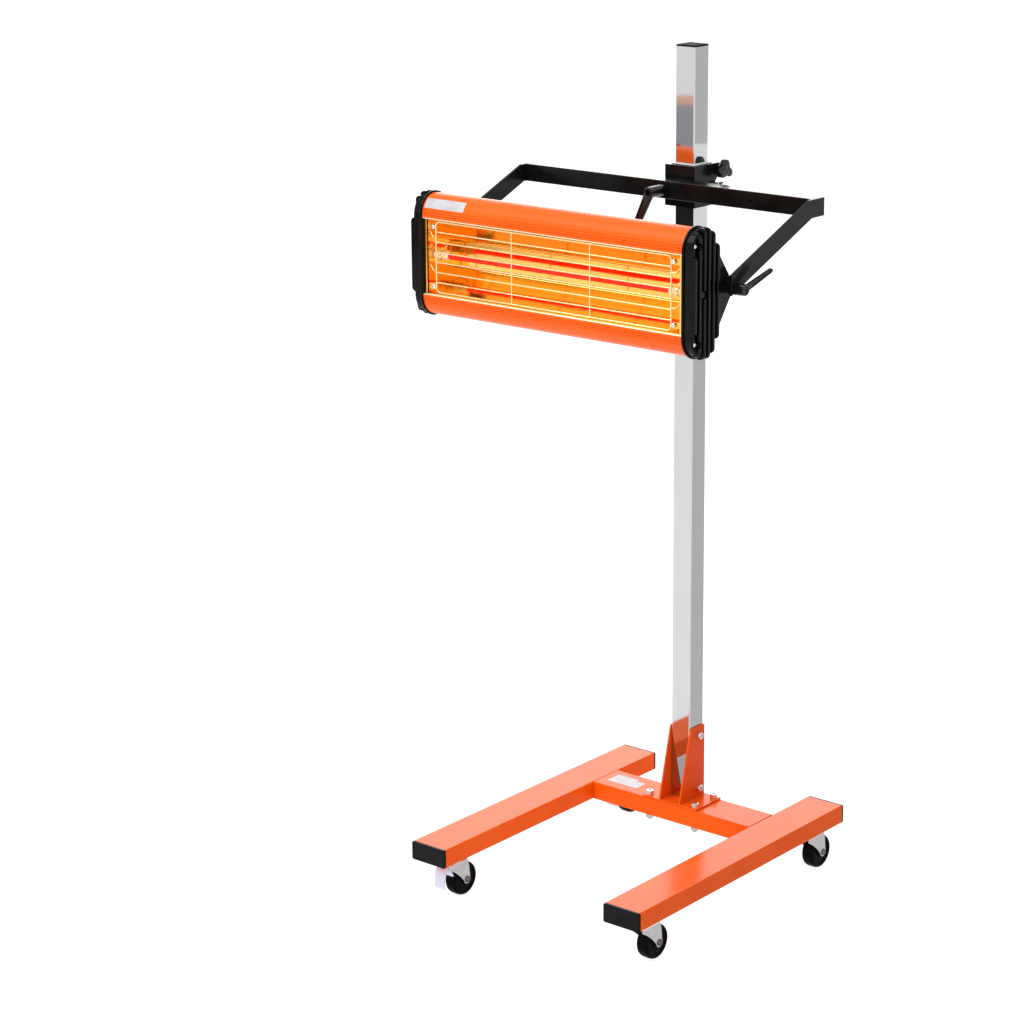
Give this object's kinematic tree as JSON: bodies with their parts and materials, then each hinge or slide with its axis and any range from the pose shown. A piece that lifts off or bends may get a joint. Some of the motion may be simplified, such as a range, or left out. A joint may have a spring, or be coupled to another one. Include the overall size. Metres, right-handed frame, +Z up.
{
  "type": "infrared heat lamp",
  "caption": "Portable infrared paint-curing lamp: tilting head with wire grille on a rolling yoke that slides on a square column, with a U-shaped castor base.",
  "frame": {"origin": "on the floor, at the centre of the base's footprint", "axes": "+X to the lamp's right as seen from the front, -Y the way the head faces at rest, +Z up"},
  "size_m": [0.6594, 0.595, 1.4546],
  "materials": {
    "orange_paint": "gloss",
    "orange_extrusion": "gloss",
    "black_paint": "satin",
    "black_plastic": "matte",
    "polished_stainless": "polished",
    "zinc": "satin",
    "white_nylon": "satin",
    "black_tread": "satin",
    "gold_reflector": "polished",
    "ceramic": "satin",
    "quartz": "polished",
    "hot_wire": "satin",
    "grille_steel": "polished",
    "switch_red": "gloss"
  },
  "bodies": {
    "stand": {"leg_left": "orange_paint", "leg_right": "orange_paint", "cross_beam": "orange_paint", "foot_bracket": "orange_paint", "column_tube": "polished_stainless", "column_cap": "black_plastic", "column_bolt_lower": "zinc", "column_bolt_upper": "zinc", "base_bolt_front_left": "zinc", "base_bolt_front_right": "zinc", "base_bolt_rear_left": "zinc", "base_bolt_rear_right": "zinc", "leg_cap_front_left": "black_plastic", "leg_cap_front_right": "black_plastic", "leg_cap_rear_left": "black_plastic", "leg_cap_rear_right": "black_plastic", "castor_race_front_left": "zinc", "castor_race_front_right": "zinc", "castor_race_rear_left": "zinc", "castor_race_rear_right": "zinc"},
    "swivel_front_left": {"castor_fork_front_left": "zinc"},
    "wheel_front_left": {"castor_wheel_front_left": "black_tread"},
    "pedal_front_left": {"brake_pedal_front_left": "white_nylon"},
    "swivel_front_right": {"castor_fork_front_right": "zinc"},
    "wheel_front_right": {"castor_wheel_front_right": "black_tread"},
    "swivel_rear_left": {"castor_fork_rear_left": "zinc"},
    "wheel_rear_left": {"castor_wheel_rear_left": "black_tread"},
    "pedal_rear_left": {"brake_pedal_rear_left": "white_nylon"},
    "swivel_rear_right": {"castor_fork_rear_right": "zinc"},
    "wheel_rear_right": {"castor_wheel_rear_right": "black_tread"},
    "carriage": {"carriage_sleeve": "black_paint", "glide_liner": "white_nylon", "pinch_bolt": "zinc", "roll_bush": "black_plastic", "knob_bolt": "zinc"},
    "knob": {"clamp_knob": "black_plastic"},
    "yoke": {"crossbar": "black_paint", "arm_left": "black_paint", "arm_right": "black_paint"},
    "roll_clamp": {"roll_stud": "zinc"},
    "roll_handle": {"roll_lever": "black_plastic"},
    "head": {"head_housing": "orange_extrusion", "end_cap_left": "black_plastic", "end_cap_right": "black_plastic", "ear_left": "black_paint", "ear_right": "black_paint", "reflector": "gold_reflector", "lamp_holder_left": "ceramic", "lamp_holder_right": "ceramic", "quartz_tube": "quartz", "filament": "hot_wire", "grille": "grille_steel", "terminal_box": "black_plastic", "cable_gland": "black_plastic"},
    "tilt_clamp_left": {"tilt_stud_left": "zinc"},
    "tilt_handle_left": {"tilt_lever_left": "black_plastic"},
    "tilt_clamp_right": {"tilt_stud_right": "zinc"},
    "tilt_handle_right": {"tilt_lever_right": "black_plastic"},
    "rocker": {"rocker_switch": "switch_red"}
  },
  "joints": [
    {"name": "castor_swivel_front_left", "type": "hinge", "parent": "stand", "child": "swivel_front_left", "pos_m": [-0.209, -0.2375, 0.07], "axis": [0, 0, 1], "continuous": true},
    {"name": "wheel_spin_front_left", "type": "hinge", "parent": "swivel_front_left", "child": "wheel_front_left", "pos_m": [-0.209, -0.2135, 0.03], "axis": [1, 0, 0], "continuous": true},
    {"name": "brake_front_left", "type": "hinge", "parent": "swivel_front_left", "child": "pedal_front_left", "pos_m": [-0.209, -0.2515, 0.06], "axis": [1, 0, 0], "range_deg": [0, 12]},
    {"name": "castor_swivel_front_right", "type": "hinge", "parent": "stand", "child": "swivel_front_right", "pos_m": [0.209, -0.2375, 0.07], "axis": [0, 0, 1], "continuous": true},
    {"name": "wheel_spin_front_right", "type": "hinge", "parent": "swivel_front_right", "child": "wheel_front_right", "pos_m": [0.209, -0.2135, 0.03], "axis": [1, 0, 0], "continuous": true},
    {"name": "castor_swivel_rear_left", "type": "hinge", "parent": "stand", "child": "swivel_rear_left", "pos_m": [-0.209, 0.2435, 0.07], "axis": [0, 0, 1], "continuous": true},
    {"name": "wheel_spin_rear_left", "type": "hinge", "parent": "swivel_rear_left", "child": "wheel_rear_left", "pos_m": [-0.209, 0.2675, 0.03], "axis": [1, 0, 0], "continuous": true},
    {"name": "brake_rear_left", "type": "hinge", "parent": "swivel_rear_left", "child": "pedal_rear_left", "pos_m": [-0.209, 0.2295, 0.06], "axis": [1, 0, 0], "range_deg": [0, 12]},
    {"name": "castor_swivel_rear_right", "type": "hinge", "parent": "stand", "child": "swivel_rear_right", "pos_m": [0.209, 0.2435, 0.07], "axis": [0, 0, 1], "continuous": true},
    {"name": "wheel_spin_rear_right", "type": "hinge", "parent": "swivel_rear_right", "child": "wheel_rear_right", "pos_m": [0.209, 0.2675, 0.03], "axis": [1, 0, 0], "continuous": true},
    {"name": "height", "type": "slide", "parent": "stand", "child": "carriage", "axis": [0, 0, 1], "range_m": [-0.75, 0.19]},
    {"name": "height_knob_turn", "type": "hinge", "parent": "carriage", "child": "knob", "pos_m": [0.045, 0.1945, 1.243], "axis": [1, 0, 0], "range_deg": [0, 360]},
    {"name": "yoke_roll", "type": "hinge", "parent": "carriage", "child": "yoke", "pos_m": [0, 0.0985, 1.219], "axis": [0, 1, 0], "range_deg": [-90, 90]},
    {"name": "roll_lever_turn", "type": "hinge", "parent": "carriage", "child": "roll_clamp", "pos_m": [0, 0.0835, 1.219], "axis": [0, -1, 0], "range_deg": [0, 120]},
    {"name": "roll_lever_lift", "type": "slide", "parent": "roll_clamp", "child": "roll_handle", "axis": [0, -1, 0], "range_m": [0, 0.003], "stiffness_N_per_m": 800, "springref_m": -0.005},
    {"name": "head_tilt", "type": "hinge", "parent": "yoke", "child": "head", "pos_m": [0, -0.1255, 1.121], "axis": [1, 0, 0], "range_deg": [-90, 90]},
    {"name": "tilt_lever_turn_left", "type": "hinge", "parent": "head", "child": "tilt_clamp_left", "pos_m": [-0.303, -0.1255, 1.121], "axis": [-1, 0, 0], "range_deg": [0, 120]},
    {"name": "tilt_lever_lift_left", "type": "slide", "parent": "tilt_clamp_left", "child": "tilt_handle_left", "axis": [-1, 0, 0], "range_m": [0, 0.003], "stiffness_N_per_m": 800, "springref_m": -0.005},
    {"name": "tilt_lever_turn_right", "type": "hinge", "parent": "head", "child": "tilt_clamp_right", "pos_m": [0.303, -0.1255, 1.121], "axis": [1, 0, 0], "range_deg": [0, 120]},
    {"name": "tilt_lever_lift_right", "type": "slide", "parent": "tilt_clamp_right", "child": "tilt_handle_right", "axis": [1, 0, 0], "range_m": [0, 0.003], "stiffness_N_per_m": 800, "springref_m": -0.005},
    {"name": "switch_rock", "type": "hinge", "parent": "head", "child": "rocker", "pos_m": [0.028, -0.1272, 1.121], "axis": [1, 0, 0], "range_deg": [0, 20]}
  ]
}
